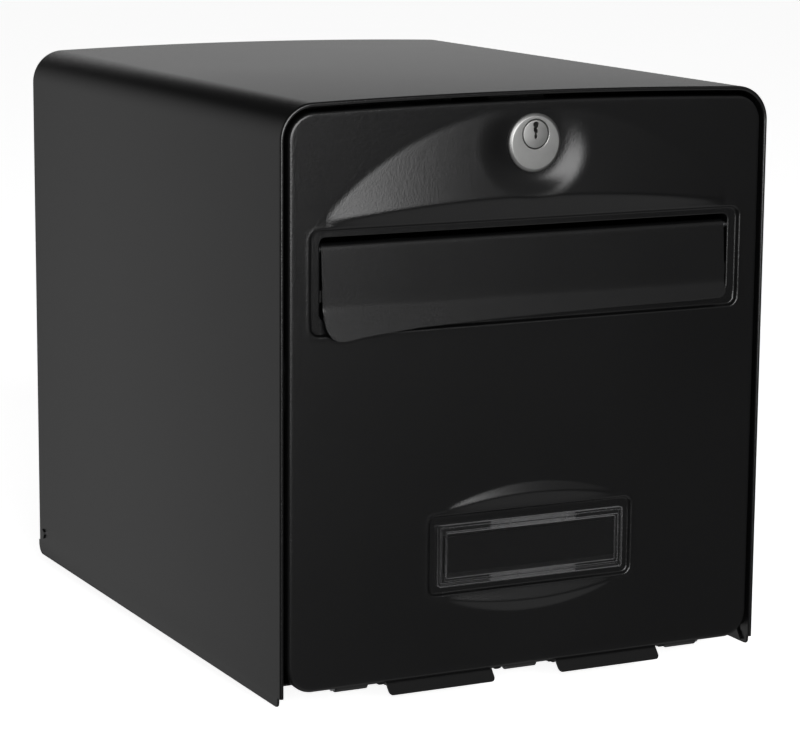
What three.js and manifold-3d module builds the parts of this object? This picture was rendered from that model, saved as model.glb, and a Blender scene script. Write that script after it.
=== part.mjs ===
// Parcel drop box: sheet-steel casing, bottom-hinged door with a letter flap, a cylinder lock
// and a clear name holder. Millimetres, +Z up, front facing -Y.
// Pieces are drawn with the door's face plane at Y = 0 and the base at Z = 0; the whole box is
// then moved so that the origin is the middle of its base.

import * as THREE from 'three';
import { mergeVertices } from 'three/addons/utils/BufferGeometryUtils.js';
import Module from 'manifold-3d';

const wasm = await Module();
wasm.setup();

// ---------- driving dimensions ----------
const WIDTH = 280;
const DEPTH = 357; // door face plane to rear edge
const SHOULDER = 303.3; // height of the casing where the crown begins
const CROWN = 2; // extra height in the middle of the top
const FRONT_REACH = 5; // how far the furthest front piece stands ahead of the face plane
const SHEET = 1.2;
const GAP = 0.3; // clearance between neighbouring pieces

const HEM = 2.3; // doubled front edge of the casing
const HEM_DEPTH = 8;
const HEM_BOTTOM = 5; // at its front; it rises to the rear
const HEM_RISE = 2.1;
const NOTCH = 3; // set-back of the side's front edge below the hem
const CASE_R = 18.5;
const BASE_FLANGE = 14;
const BASE_FLANGE_FRONT = 32;
const REAR_FLANGE = 12;

const DOOR_HALF = 135.5;
const DOOR_BOTTOM = 6.5;
const DOOR_SHOULDER = 298.6;
const DOOR_R_TOP = 14;
const DOOR_R_BOTTOM = 13.5;
const DOOR_EDGE_R = 1.8; // rounding between the door's face and its turned-back edge
const DOOR_FLANGE = 14;
const DOOR_FLANGE_LOW = 4.5; // turned-back edge along the bottom

const HINGE = { y: 7.5, z: 6.4 };
const ROD_R = 2;
const KNUCKLE_R = 3.5;
const KNUCKLE_W = 17.6;
const KNUCKLES = [-98, 0, 98];
const TONGUE = { inner: 19, outer: 80, foot: 0.5, reach: 3.1, root: 1.9 };

const SLOT = { half: 118, bottom: 195.3, top: 236.8, r: 3 };
const SLOT_RECESS = { half: 123.5, bottom: 188.1, top: 240.3, r: 5, depth: 2 };
const FLAP_HALF = 116.5;
const FLAP_PIVOT = { y: 6.4, z: 230.3 };
const FLAP_SHEET = 1;
const FLAP_CURL_R = 3.1;
const FLAP_ROD_R = 1.5;
const FLAP_FOLD = { y: 1, z: 200.6 };
const FLAP_LIP = { y: -4.7, z: 185 };

const LOCK = { z: 278.9, faceR: 15, bodyR: 12.5, seatR: 17.25, front: -2, rear: 20 };
const PLUG = { z: 283.3, r: 7.2, bore: 7.5 };
const CAM = { y: 20.6, thick: 2, length: 16, half: 6 };

const NAME = { x: 2.2, z: 69.7, half: 59, tall: 20.5, r: 4, depth: 1.6 };
const COVER = { half: 54, bottom: -16.4, top: 15.8, front: -2.6, wall: 1.6 };

const FLOOR_TOP = 8.6;
const FLOOR_FRONT = 14;
const REAR_IN = DEPTH - SHEET - GAP; // rear face of the rear panel
const SIDE_IN = WIDTH / 2 - SHEET; // inner face of the casing's sides

// ---------- materials ----------
function coat(color, roughness, metalness, extra = {}) {
  return new THREE.MeshStandardMaterial({ color, roughness, metalness, ...extra });
}

const BLACK = () => coat(0x1b1b1c, 0.5, 0.1);
const STEEL = () => coat(0x8c8e90, 0.38, 0.9);
const CHROME = () => coat(0xc9cbcc, 0.18, 1);
const RUBBER = () => coat(0x141414, 0.85, 0);
const CARD = () => coat(0x0b0b0c, 0.7, 0);
const CLEAR = () => coat(0xdfe3e4, 0.08, 0, { transparent: true, opacity: 0.3 });

// ---------- solids ----------
function solid(geometry) {
  const g = geometry.index ? geometry : geometry.clone();
  for (const name of ['normal', 'uv']) {
    if (g.getAttribute(name)) g.deleteAttribute(name);
  }
  const merged = mergeVertices(g, 1e-5);
  return new wasm.Manifold(new wasm.Mesh({
    numProp: 3,
    vertProperties: new Float32Array(merged.getAttribute('position').array),
    triVerts: new Uint32Array(merged.index.array),
  }));
}

function join(...parts) {
  return parts.reduce((whole, part) => whole.add(part));
}

function cut(body, ...tools) {
  return tools.reduce((rest, tool) => rest.subtract(tool), body);
}

function basis(x, y, z) {
  return new THREE.Matrix4().makeBasis(
    new THREE.Vector3(...x), new THREE.Vector3(...y), new THREE.Vector3(...z));
}

function shapeOf(points) {
  return new THREE.Shape(points.map(([u, v]) => new THREE.Vector2(u, v)));
}

// Outline in X,Z pushed along Y.
function slabXZ(points, y0, y1, options = {}) {
  const g = new THREE.ExtrudeGeometry(shapeOf(points), {
    depth: y1 - y0, bevelEnabled: false, ...options });
  g.applyMatrix4(basis([1, 0, 0], [0, 0, 1], [0, -1, 0]));
  g.translate(0, y1, 0);
  return solid(g);
}

// Outline in Y,Z pushed along X.
function slabYZ(points, x0, x1) {
  const g = new THREE.ExtrudeGeometry(shapeOf(points), { depth: x1 - x0, bevelEnabled: false });
  g.applyMatrix4(basis([0, 1, 0], [0, 0, 1], [1, 0, 0]));
  g.translate(x0, 0, 0);
  return solid(g);
}

function box(x0, x1, y0, y1, z0, z1) {
  const g = new THREE.BoxGeometry(x1 - x0, y1 - y0, z1 - z0);
  g.translate((x0 + x1) / 2, (y0 + y1) / 2, (z0 + z1) / 2);
  return solid(g);
}

// Round bar or cone along Y, radius r0 at y0 and r1 at y1.
function roundY(x, z, y0, y1, r0, r1 = r0, segments = 32) {
  const g = new THREE.CylinderGeometry(r1, r0, y1 - y0, segments);
  g.translate(x, (y0 + y1) / 2, z);
  return solid(g);
}

function roundX(y, z, x0, x1, r, segments = 16) {
  const g = new THREE.CylinderGeometry(r, r, x1 - x0, segments);
  g.rotateZ(-Math.PI / 2);
  g.translate((x0 + x1) / 2, y, z);
  return solid(g);
}

// Mirror-image copies left and right: make(side) is called with -1 and 1.
function bothSides(make) {
  return join(make(-1), make(1));
}

function span(side, a, b) {
  return side > 0 ? [a, b] : [-b, -a];
}

// Lofted solid through sections set out along X, each a list of [y, z].
function loft(sections) {
  const n = sections[0].points.length;
  const position = [];
  const index = [];
  for (const { x, points } of sections) {
    for (const [y, z] of points) position.push(x, y, z);
  }
  const last = (sections.length - 1) * n;
  for (let i = 0; i < last; i += n) {
    for (let j = 0; j < n; j += 1) {
      const k = (j + 1) % n;
      index.push(i + j, i + k, i + n + j);
      index.push(i + k, i + n + k, i + n + j);
    }
  }
  for (let j = 1; j < n - 1; j += 1) {
    index.push(0, j + 1, j);
    index.push(last, last + j, last + j + 1);
  }
  const g = new THREE.BufferGeometry();
  g.setAttribute('position', new THREE.Float32BufferAttribute(position, 3));
  g.setIndex(index);
  return solid(g);
}

// ---------- outlines ----------
function arc(cx, cz, r, from, to, steps) {
  const points = [];
  for (let i = 0; i <= steps; i += 1) {
    const a = THREE.MathUtils.degToRad(from + (to - from) * i / steps);
    points.push([cx + r * Math.cos(a), cz + r * Math.sin(a)]);
  }
  return points;
}

function roundedRect(x0, x1, z0, z1, r, steps = 4) {
  return [
    ...arc(x1 - r, z0 + r, r, -90, 0, steps),
    ...arc(x1 - r, z1 - r, r, 0, 90, steps),
    ...arc(x0 + r, z1 - r, r, 90, 180, steps),
    ...arc(x0 + r, z0 + r, r, 180, 270, steps),
  ];
}

// Straight sides, rounded upper corners and a slightly crowned top.
function archOutline(half, bottom, shoulder, rTop, rBottom) {
  const low = rBottom > 0
    ? [...arc(-half + rBottom, bottom + rBottom, rBottom, 180, 270, 6),
      ...arc(half - rBottom, bottom + rBottom, rBottom, -90, 0, 6)]
    : [[-half, bottom], [half, bottom]];
  const crown = [];
  const run = half - rTop;
  for (let i = 1; i < 12; i += 1) {
    const x = run - 2 * run * i / 12;
    crown.push([x, shoulder + CROWN * (1 - (x / run) ** 2)]);
  }
  return [
    ...low,
    ...arc(half - rTop, shoulder - rTop, rTop, 0, 90, 6),
    ...crown,
    ...arc(-half + rTop, shoulder - rTop, rTop, 90, 180, 6),
  ];
}

function caseOutline(inset, bottom = 0) {
  return archOutline(WIDTH / 2 - inset, bottom, SHOULDER - inset, CASE_R - inset, 0);
}

function doorOutline(inset) {
  return archOutline(DOOR_HALF - inset, DOOR_BOTTOM + inset, DOOR_SHOULDER - inset,
    DOOR_R_TOP - inset, DOOR_R_BOTTOM - inset);
}

// ---------- housing ----------
function outerCasing() {
  const shell = cut(slabXZ(caseOutline(0), 0, DEPTH),
    slabXZ(caseOutline(SHEET, -1), -1, DEPTH + 1));
  const hem = cut(slabXZ(caseOutline(0.5), 0, HEM_DEPTH),
    slabXZ(caseOutline(HEM, -1), -1, HEM_DEPTH + 1),
    slabYZ([[-1, -1], [HEM_DEPTH + 1, -1], [HEM_DEPTH + 1, HEM_BOTTOM + HEM_RISE],
      [HEM_DEPTH, HEM_BOTTOM + HEM_RISE], [0, HEM_BOTTOM], [-1, HEM_BOTTOM]], -WIDTH, WIDTH));
  const rearEdge = cut(slabXZ(caseOutline(0.5), DEPTH - SHEET, DEPTH),
    slabXZ(caseOutline(REAR_FLANGE, -1), DEPTH - 2, DEPTH + 1),
    box(-WIDTH, WIDTH, DEPTH - 3, DEPTH + 1, -1, 8));
  const feet = bothSides((side) => {
    const [x0, x1] = span(side, WIDTH / 2 - BASE_FLANGE, WIDTH / 2 - 0.5);
    return box(x0, x1, BASE_FLANGE_FRONT, DEPTH - 7, 0, SHEET);
  });
  const rearCorner = slabYZ(
    [[DEPTH - 6, -1], [DEPTH + 1, -1], [DEPTH + 1, 6], ...arc(DEPTH - 6, 6, 6, 0, -90, 5)],
    -WIDTH, WIDTH);
  const rivetHoles = roundX(349, 13, -WIDTH, WIDTH, 1.9);
  const notch = slabYZ(
    [[-1, -1], [NOTCH + 2.6, -1], ...arc(NOTCH + 2.6, 2.6, 2.6, 270, 180, 5),
      [NOTCH, HEM_BOTTOM], [-1, HEM_BOTTOM]], -WIDTH, WIDTH);
  const shaped = cut(join(shell, hem, rearEdge), rearCorner, notch);
  return cut(join(shaped, feet), rivetHoles);
}

function rearPanel() {
  const inset = SHEET + GAP;
  const front = REAR_IN - 12;
  const pan = cut(slabXZ(caseOutline(inset, SHEET + GAP), front, REAR_IN),
    slabXZ(caseOutline(inset + SHEET, -1), front - 1, REAR_IN - SHEET));
  const floorEnd = box(-WIDTH, WIDTH, front - 1, REAR_IN - SHEET - 0.1, -1, FLOOR_TOP + GAP);
  const holes = [];
  for (const x of [-95, 95]) {
    for (const z of [55, 250]) holes.push(roundY(x, z, front, DEPTH, 3.5, 3.5, 16));
  }
  return cut(pan, floorEnd, roundX(349, 13, -WIDTH, WIDTH, 1.9), ...holes);
}

function floorPanel() {
  const half = SIDE_IN - GAP;
  const rear = REAR_IN - SHEET - GAP;
  const low = FLOOR_TOP - SHEET;
  const plate = box(-half, half, FLOOR_FRONT, rear, low, FLOOR_TOP);
  const turned = bothSides((side) => slabYZ(
    [[7.5, SHEET + GAP], [rear, SHEET + GAP], [rear, FLOOR_TOP], [12.5, FLOOR_TOP]],
    ...span(side, half - SHEET, half)));
  const knuckles = KNUCKLES.map((x) => join(
    roundX(HINGE.y, HINGE.z, x - KNUCKLE_W / 2, x + KNUCKLE_W / 2, KNUCKLE_R),
    box(x - KNUCKLE_W / 2, x + KNUCKLE_W / 2, HINGE.y, FLOOR_FRONT + 1, low, FLOOR_TOP)));
  return cut(join(plate, turned, ...knuckles),
    roundX(HINGE.y, HINGE.z, -WIDTH / 2, WIDTH / 2, ROD_R + GAP));
}

function hingeRod() {
  const end = KNUCKLES[2] + KNUCKLE_W / 2 + GAP;
  const heads = bothSides((side) =>
    roundX(HINGE.y, HINGE.z, ...span(side, end, end + 1.5), 2.7));
  return join(roundX(HINGE.y, HINGE.z, -end - 0.5, end + 0.5, ROD_R), heads);
}

function latchStrike() {
  const top = SHOULDER + CROWN - SHEET - GAP;
  return join(
    box(-16, 16, CAM.y - GAP - SHEET, CAM.y - GAP, 294.3, top - 0.1),
    box(-16, 16, CAM.y - GAP - SHEET, CAM.y + 16, top - SHEET - 0.1, top - 0.1));
}

function doorStop(side) {
  const x = span(side, SIDE_IN - GAP - SHEET, SIDE_IN - GAP);
  return join(
    box(...x, 16, 38, 150, 176),
    box(...span(side, 128, SIDE_IN - GAP), 16, 16 + SHEET, 150, 176));
}

function rivet() {
  return join(roundX(0, 0, 0.1, 0.8, 3, 12), roundX(0, 0, -5.5, 0.5, 1.6, 12),
    roundX(0, 0, -6.3, -4.6, 2.6, 12));
}

// ---------- door ----------
// Raised brow: falls away from a crest to an outer arc on one side and to a straight edge on
// the other. Each station is [x, outer z, crest z, straight edge z, crest height].
function brow(stations) {
  return loft(stations.map(([x, outer, crest, edge, height]) => {
    const points = [[0.6, edge], [0.6, outer], [0, outer], [-height, crest], [0, edge]];
    return { x, points: outer > edge ? points : points.reverse() };
  }));
}

function slotBrow() {
  const upper = [[-115, 247.5], [-102.5, 259.8], [-86, 271.3], [-66, 282.3], [-53, 288.6],
    [-36.5, 293.5], [-18, 295.9], [0, 296.6]];
  const lift = [0.1, 1.4, 2.7, 3.8, 4.4, 5, 5, 5];
  const half = upper.map(([x, z], i) => [x, z, 252.3 - 8.6 * (x / 115) ** 2, 240.9, lift[i]]);
  const right = half.slice(0, -1).reverse().map(([x, ...rest]) => [-x, ...rest]);
  return brow([...half, ...right]);
}

function nameBrow(peak, crest, tip, edge) {
  const stations = [];
  for (let i = 0; i <= 8; i += 1) {
    const u = i / 4 - 1;
    const bulge = 1 - u * u;
    stations.push([NAME.x + 50 * u, tip + (peak - tip) * bulge,
      (tip + edge) / 2 + (crest - (tip + edge) / 2) * bulge, edge, 0.1 + 1.9 * bulge]);
  }
  return brow(stations);
}

// Pocket pressed back into the door's face.
function pocket(outlineOf, depth) {
  return {
    wall: slabXZ(outlineOf(SHEET), 0.2, depth + SHEET),
    hollow: slabXZ(outlineOf(0), -FRONT_REACH - 1, depth),
  };
}

function tongue(side) {
  const { inner, outer, foot, reach, root } = TONGUE;
  const [x0, x1] = span(side, inner, outer);
  const blade = slabYZ([[root, 7.2], [root, DOOR_BOTTOM], [-reach, foot],
    [-reach + 0.9, foot - 0.4], [root + SHEET, DOOR_BOTTOM - 0.6], [root + SHEET, 7.2]], x0, x1);
  const outline = roundedRect(x0, x1, foot - 0.5, 12, 2);
  return blade.intersect(slabXZ(outline, -10, 10));
}

function doorPanel() {
  const depth = DOOR_FLANGE - 2 * DOOR_EDGE_R + 4;
  const round = (inset, r) => ({ depth, bevelEnabled: true, bevelSegments: 3,
    bevelThickness: r, bevelSize: r, bevelOffset: -r });
  const backOff = box(-WIDTH, WIDTH, DOOR_FLANGE, 60, -10, 400);
  const outer = cut(slabXZ(doorOutline(0), 0, depth, round(0, DOOR_EDGE_R))
    .translate([0, DOOR_EDGE_R, 0]), backOff);
  const r = DOOR_EDGE_R - SHEET;
  const inner = slabXZ(doorOutline(SHEET), 0, depth, round(SHEET, r))
    .translate([0, SHEET + r, 0]);
  const deep = slabXZ(doorOutline(SHEET), DOOR_FLANGE - 3, DOOR_FLANGE + 2);
  const lowCorners = box(-WIDTH, WIDTH, DOOR_FLANGE_LOW, 60, -10, DOOR_BOTTOM + 19);
  const knuckleRoom = KNUCKLES.map((x) => box(x - KNUCKLE_W / 2 - 1, x + KNUCKLE_W / 2 + 1,
    2.2, 20, 0, DOOR_BOTTOM + 6));
  const pan = cut(outer, inner, deep, lowCorners, ...knuckleRoom);

  const slot = pocket((grow) => roundedRect(-SLOT_RECESS.half - grow, SLOT_RECESS.half + grow,
    SLOT_RECESS.bottom - grow, SLOT_RECESS.top + grow, SLOT_RECESS.r + grow),
  SLOT_RECESS.depth);
  const name = pocket((grow) => roundedRect(NAME.x - NAME.half - grow,
    NAME.x + NAME.half + grow, NAME.z - NAME.tall - grow, NAME.z + NAME.tall + grow,
    NAME.r + grow), NAME.depth);
  const dish = roundY(0, LOCK.z, -6, 0, LOCK.seatR + 6 / 0.55, LOCK.seatR, 40);
  const raised = join(cut(slotBrow(), dish), nameBrow(103.5, 98.7, 94.3, 91.5),
    nameBrow(36.1, 41.9, 45.9, 47.9));
  const ears = bothSides((side) => join(...[20, 77].map((x) => slabYZ(
    [[0.6, 7.6], [HINGE.y - 1, HINGE.z - 3.2], ...arc(HINGE.y, HINGE.z, 3.4, -90, 90, 6),
      [0.6, 15]], ...span(side, x, x + SHEET)))));
  const shoulders = bothSides((side) => join(...[[13.8, 18.4], [80.6, 85.2]].map(([a, b]) => {
    const [x0, x1] = span(side, a, b);
    return slabXZ([[x0, 7.2], [x0, DOOR_BOTTOM], [x0 + 1.5, 5.5], [x1 - 1.5, 5.5],
      [x1, DOOR_BOTTOM], [x1, 7.2]], TONGUE.root, TONGUE.root + SHEET);
  })));
  const clips = [-1, 1].map((side) => box(NAME.x - 25.5, NAME.x + 25.5, 0, 8,
    NAME.z + side * 11.4 - 1.3, NAME.z + side * 11.4 + 1.3));

  const sheet = cut(join(pan, raised), raised.translate([0, SHEET, 0]));
  const pressed = join(sheet, slot.wall, name.wall, ears, shoulders, tongue(-1), tongue(1));
  return cut(pressed, slot.hollow, name.hollow, ...clips,
    slabXZ(roundedRect(-SLOT.half, SLOT.half, SLOT.bottom, SLOT.top, SLOT.r), -2, 12),
    roundY(0, LOCK.z, -2, 8, LOCK.bodyR + GAP),
    roundX(HINGE.y, HINGE.z, -WIDTH / 2, WIDTH / 2, ROD_R + GAP));
}

function flapLug(side) {
  const { y, z } = FLAP_PIVOT;
  const plate = slabYZ([[3.5, 204.3], [8, 204.3], [11, 216.3], [11, 237.3], [3.5, 237.3]],
    ...span(side, 118.8, 120));
  const foot = box(...span(side, 119, 123), 3.5, 4.7, 204.3, 223.3);
  const stop = join(box(...span(side, 112, 119), 3.5, 4.7, 204.3, 210.3),
    box(...span(side, 112, 117.5), 2.95, 3.6, 204.3, 210.3));
  return cut(join(plate, foot, stop),
    roundX(y, z, ...span(side, 117, 122), FLAP_ROD_R + GAP));
}

function ringX(y, z, x0, x1, outer, bore) {
  return cut(roundX(y, z, x0, x1, outer), roundX(y, z, x0 - 1, x1 + 1, bore));
}

// ---------- letter flap ----------
function slotFlap() {
  const { y, z } = FLAP_PIVOT;
  const face = y - FLAP_CURL_R;
  const sheet = slabYZ([[face, z], [face + FLAP_SHEET, z],
    [FLAP_FOLD.y + FLAP_SHEET, FLAP_FOLD.z - 0.2], [FLAP_LIP.y + 0.94, FLAP_LIP.z - 0.34],
    [FLAP_LIP.y, FLAP_LIP.z], [FLAP_FOLD.y, FLAP_FOLD.z]].reverse(), -FLAP_HALF, FLAP_HALF);
  const curl = roundX(y, z, -FLAP_HALF, FLAP_HALF, FLAP_CURL_R, 20);
  const below = slabXZ([[-120, 170], [120, 170], [120, 196.3], [116.3, 194.9], [114, 193.2],
    [101, 192.7], [42, 192.3], [-18, 191.2], [-65, 189.5], [-93, 187.2], [-106, 185.4],
    [-110.6, 185.8], [-113.6, 187.3], [-115.4, 190.3], [-116.4, 197.8], [-120, 197.8]], -20, 20);
  return cut(join(sheet, curl), below,
    roundX(y, z, -FLAP_HALF - 1, FLAP_HALF + 1, FLAP_ROD_R + GAP));
}

// ---------- lock ----------
function lockBarrel() {
  const { z, faceR, bodyR, front, rear } = LOCK;
  return cut(join(
    roundY(0, z, front, front + 0.9, faceR - 0.9, faceR, 48),
    roundY(0, z, front + 0.9, -GAP, faceR, faceR, 48),
    roundY(0, z, -GAP - 0.1, rear, bodyR, bodyR, 32)),
  roundY(0, PLUG.z, front - 1, rear + 1, PLUG.bore, PLUG.bore, 32));
}

function lockNut() {
  return cut(roundY(0, LOCK.z, SHEET + GAP, 6.5, 16.5, 16.5, 6),
    roundY(0, LOCK.z, 0, 8, LOCK.bodyR + GAP));
}

function lockPlug() {
  const rear = LOCK.rear + GAP;
  const core = roundY(0, PLUG.z, LOCK.front + 0.2, rear, PLUG.r, PLUG.r, 32);
  const drive = box(-3, 3, rear - 1, CAM.y + CAM.thick - 0.2, PLUG.z - 3, PLUG.z + 3);
  const keyway = box(-1.1, 1.1, LOCK.front - 1, 11, PLUG.z - 1.9, PLUG.z + 6.5);
  return cut(join(core, drive), keyway, roundY(0, PLUG.z, 13, 30, 1.9, 1.9, 12));
}

// Turned aside at rest; a quarter turn brings the arm up behind the strike.
function lockCam() {
  const { y, thick, length, half } = CAM;
  const arm = [...arc(0, PLUG.z, half + 1, -90, 90, 8), [-length, PLUG.z + half],
    [-length, PLUG.z - half]];
  const drive = box(-3.3, 3.3, y - 1, y + thick + 1, PLUG.z - 3.3, PLUG.z + 3.3);
  return cut(slabXZ(arm, y, y + thick), drive);
}

function camScrew() {
  const seat = CAM.y + CAM.thick + GAP;
  return join(roundY(0, PLUG.z, seat, seat + 2.4, 5.5, 4.8, 16),
    roundY(0, PLUG.z, 15, seat + 0.5, 1.6, 1.6, 12));
}

// ---------- name holder ----------
function nameCard() {
  return box(NAME.x - 50, NAME.x + 50, NAME.depth - 0.9, NAME.depth - GAP,
    NAME.z - 9.6, NAME.z + 9.6);
}

function nameCover() {
  const { half, bottom, top, front, wall } = COVER;
  const frame = (inset) => roundedRect(NAME.x - half + inset, NAME.x + half - inset,
    NAME.z + bottom + inset, NAME.z + top - inset, 1.2, 2);
  const tray = cut(slabXZ(frame(0), front, NAME.depth - GAP),
    slabXZ(frame(wall), front + 1.2, 10));
  const tabs = [-1, 1].map((side) => box(NAME.x - 25, NAME.x + 25, front + 0.5, 5,
    NAME.z + side * 11.4 - 0.9, NAME.z + side * 11.4 + 0.9));
  const barbs = [-1, 1].map((side) => box(NAME.x - 25, NAME.x + 25, 3.4, 5,
    NAME.z + side * 12.2 - 0.9, NAME.z + side * 12.2 + 0.9));
  return join(tray, ...tabs, ...barbs);
}

// ---------- scene ----------
function geometryOf(body) {
  const { vertProperties, triVerts } = body.getMesh();
  const g = new THREE.BufferGeometry();
  g.setAttribute('position', new THREE.Float32BufferAttribute(vertProperties, 3));
  g.setIndex(Array.from(triVerts));
  const flat = g.toNonIndexed();
  flat.computeVertexNormals();
  return flat;
}

function place(group, name, body, material, position = [0, 0, 0]) {
  const mesh = new THREE.Mesh(geometryOf(body), material);
  mesh.name = name;
  mesh.position.set(...position);
  group.add(mesh);
  return mesh;
}

const dropBox = new THREE.Group();
const housing = new THREE.Group();
const door = new THREE.Group();
const flap = new THREE.Group();
const lockCore = new THREE.Group();
dropBox.add(housing, door);
door.add(flap, lockCore);

place(housing, 'outer_casing', outerCasing(), BLACK());
place(housing, 'rear_panel', rearPanel(), BLACK());
place(housing, 'floor_panel', floorPanel(), BLACK());
place(housing, 'hinge_rod', hingeRod(), STEEL());
place(housing, 'latch_strike', latchStrike(), BLACK());
for (const [side, word] of [[-1, 'left'], [1, 'right']]) {
  const x = side * 134.5;
  place(housing, `door_stop_${word}`, doorStop(side), BLACK());
  place(housing, `stop_buffer_${word}`, roundY(0, 0, 14.4, 15.7, 4, 4, 16), RUBBER(),
    [x, 0, 163]);
  place(housing, `side_rivet_${word}`, rivet(), BLACK(), [side * WIDTH / 2, 349, 13])
    .rotation.z = side < 0 ? Math.PI : 0;
}

place(door, 'door_panel', doorPanel(), BLACK());
place(door, 'flap_rod', roundX(FLAP_PIVOT.y, FLAP_PIVOT.z, -122.7, 122.7, FLAP_ROD_R), STEEL());
for (const [side, word] of [[-1, 'left'], [1, 'right']]) {
  const x = span(side, 120.3, 121.5);
  place(door, `flap_lug_${word}`, flapLug(side), BLACK());
  place(door, `rod_clip_${word}`,
    ringX(FLAP_PIVOT.y, FLAP_PIVOT.z, ...x, 3.2, FLAP_ROD_R + 0.1), STEEL());
}
place(door, 'lock_barrel', lockBarrel(), CHROME());
place(door, 'lock_nut', lockNut(), STEEL());
place(door, 'name_card', nameCard(), CARD());
place(door, 'name_cover', nameCover(), CLEAR());

place(flap, 'slot_flap', slotFlap(), BLACK());

place(lockCore, 'lock_plug', lockPlug(), CHROME());
place(lockCore, 'lock_cam', lockCam(), STEEL());
place(lockCore, 'cam_screw', camScrew(), STEEL());

dropBox.position.y = (FRONT_REACH - DEPTH) / 2;

export default dropBox;
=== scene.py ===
"""Looks of the parcel drop box: black powder-coated sheet steel, a satin nickel cylinder lock and
a clear name cover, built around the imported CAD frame. Shapes are given in millimetres with the
door's face plane at Y = 0 and the base at Z = 0, as the box is drawn, and placed in metres."""

import math

import bmesh
import bpy
import numpy as np
from mathutils import Matrix, Vector
from mathutils.geometry import tessellate_polygon


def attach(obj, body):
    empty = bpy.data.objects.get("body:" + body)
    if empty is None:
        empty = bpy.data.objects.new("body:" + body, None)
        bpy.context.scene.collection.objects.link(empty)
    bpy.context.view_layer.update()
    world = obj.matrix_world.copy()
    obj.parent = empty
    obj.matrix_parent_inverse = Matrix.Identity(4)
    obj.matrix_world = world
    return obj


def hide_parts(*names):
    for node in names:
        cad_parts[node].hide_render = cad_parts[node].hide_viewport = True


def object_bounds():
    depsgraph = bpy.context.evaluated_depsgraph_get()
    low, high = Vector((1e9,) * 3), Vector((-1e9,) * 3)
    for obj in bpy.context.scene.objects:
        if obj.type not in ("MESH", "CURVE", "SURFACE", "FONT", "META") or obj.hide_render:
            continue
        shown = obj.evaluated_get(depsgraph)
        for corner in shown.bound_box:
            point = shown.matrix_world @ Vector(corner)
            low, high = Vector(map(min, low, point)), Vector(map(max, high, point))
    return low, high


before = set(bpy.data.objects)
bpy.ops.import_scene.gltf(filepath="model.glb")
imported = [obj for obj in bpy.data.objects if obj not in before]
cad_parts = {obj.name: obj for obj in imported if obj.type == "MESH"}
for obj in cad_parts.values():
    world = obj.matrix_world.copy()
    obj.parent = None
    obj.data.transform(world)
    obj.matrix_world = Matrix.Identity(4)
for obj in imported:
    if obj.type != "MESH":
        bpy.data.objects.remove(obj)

cad_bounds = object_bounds()

MM = 0.001
FRONT_REACH = 5  # the furthest front point stands this far ahead of the door's face plane
FACE = cad_bounds[0][1] + FRONT_REACH * MM

# ---------- dimensions shared with the CAD, in millimetres ----------
WIDTH = 280
DEPTH = 357
SHOULDER = 303.3
CROWN = 2
SHEET = 1.2

CASE_R = 18.5
HEM = 2.3
HEM_DEPTH = 8
HEM_BOTTOM = 5
HEM_RISE = 2.1
NOTCH = 3
NOTCH_R = 2.6
REAR_FLANGE = 12
REAR_FLANGE_BOTTOM = 8
REAR_BEND = 2.5
REAR_CORNER = 6

DOOR_HALF = 135.5
DOOR_BOTTOM = 6.5
DOOR_SHOULDER = 298.6
DOOR_R_TOP = 14
DOOR_R_BOTTOM = 13.5
DOOR_EDGE_R = 1.8
DOOR_FLANGE = 14
DOOR_FLANGE_LOW = 4.5

SLOT = {"half": 118, "bottom": 195.3, "top": 236.8, "r": 3}
RECESS = {"half": 123.5, "bottom": 188.1, "top": 240.3, "r": 5, "depth": 2}
LOCK = {"z": 278.9, "face": 15, "body": 12.5, "seat": 17.25, "front": -2, "rear": 20}
PLUG = {"z": 283.3, "r": 7.2, "bore": 7.5}
NAME = {"x": 2.2, "z": 69.7, "half": 59, "tall": 20.5, "r": 4, "depth": 1.6}
PIVOT = {"y": 6.4, "z": 230.3}
HINGE = {"y": 7.5, "z": 6.4}

# ---------- dimensions of the finer shapes, in millimetres ----------
BORE = LOCK["body"] + 0.3
DISH = 9.4  # width of the sloping ring between the lock's seat and the brow
BROW = {"half": 115, "arc_r": 159.3, "top": 296.6, "crest": 252.3, "sag": 8.6, "edge": 240.9,
        "lift": 5}
LIDS = ({"peak": 103.5, "crest": 98.7, "tip": 94.3, "edge": 91.5},
        {"peak": 36.1, "crest": 41.9, "tip": 45.9, "edge": 47.9})
LID_HALF = 50
LID_LIFT = 2
FRAME_WALL = 1.5  # width of the sloping wall round a pressed-in frame
FRAME_BEAD = 0.08  # height of the faint bead round that wall
BEAD_WIDTH = 0.9
DOOR_CORNERS = (  # centre x and z, radius, and 1 for an upper or -1 for a lower corner
    (DOOR_HALF - DOOR_R_TOP, DOOR_SHOULDER - DOOR_R_TOP, DOOR_R_TOP, 1),
    (DOOR_HALF - DOOR_R_BOTTOM, DOOR_BOTTOM + DOOR_R_BOTTOM, DOOR_R_BOTTOM, -1))
FOOT = {"wide": 14, "front": 32, "rear": DEPTH - 7}  # the casing's turned-in lower edges
PANEL_GAP = 0.3
PANEL_BEND = 2
PANEL_DEPTH = 12
WALL_HOLE = {"x": 95, "z": (55, 250), "r": 3.5}
TONGUE = {"inner": 19, "outer": 80, "corner": 2.2}
EAR_R = 3.4
CURL_R = 3.1
FLAP_SHEET = 1.0
FLAP_FOLD = {"y": 1.0, "z": 200.6}
LIP_LEAN = 5.7 / 15.6
COVER = {"half": 54, "below": 16.4, "above": 15.8}
FLOOR_DROP = 8  # the open door lies a little lower than the base


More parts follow.
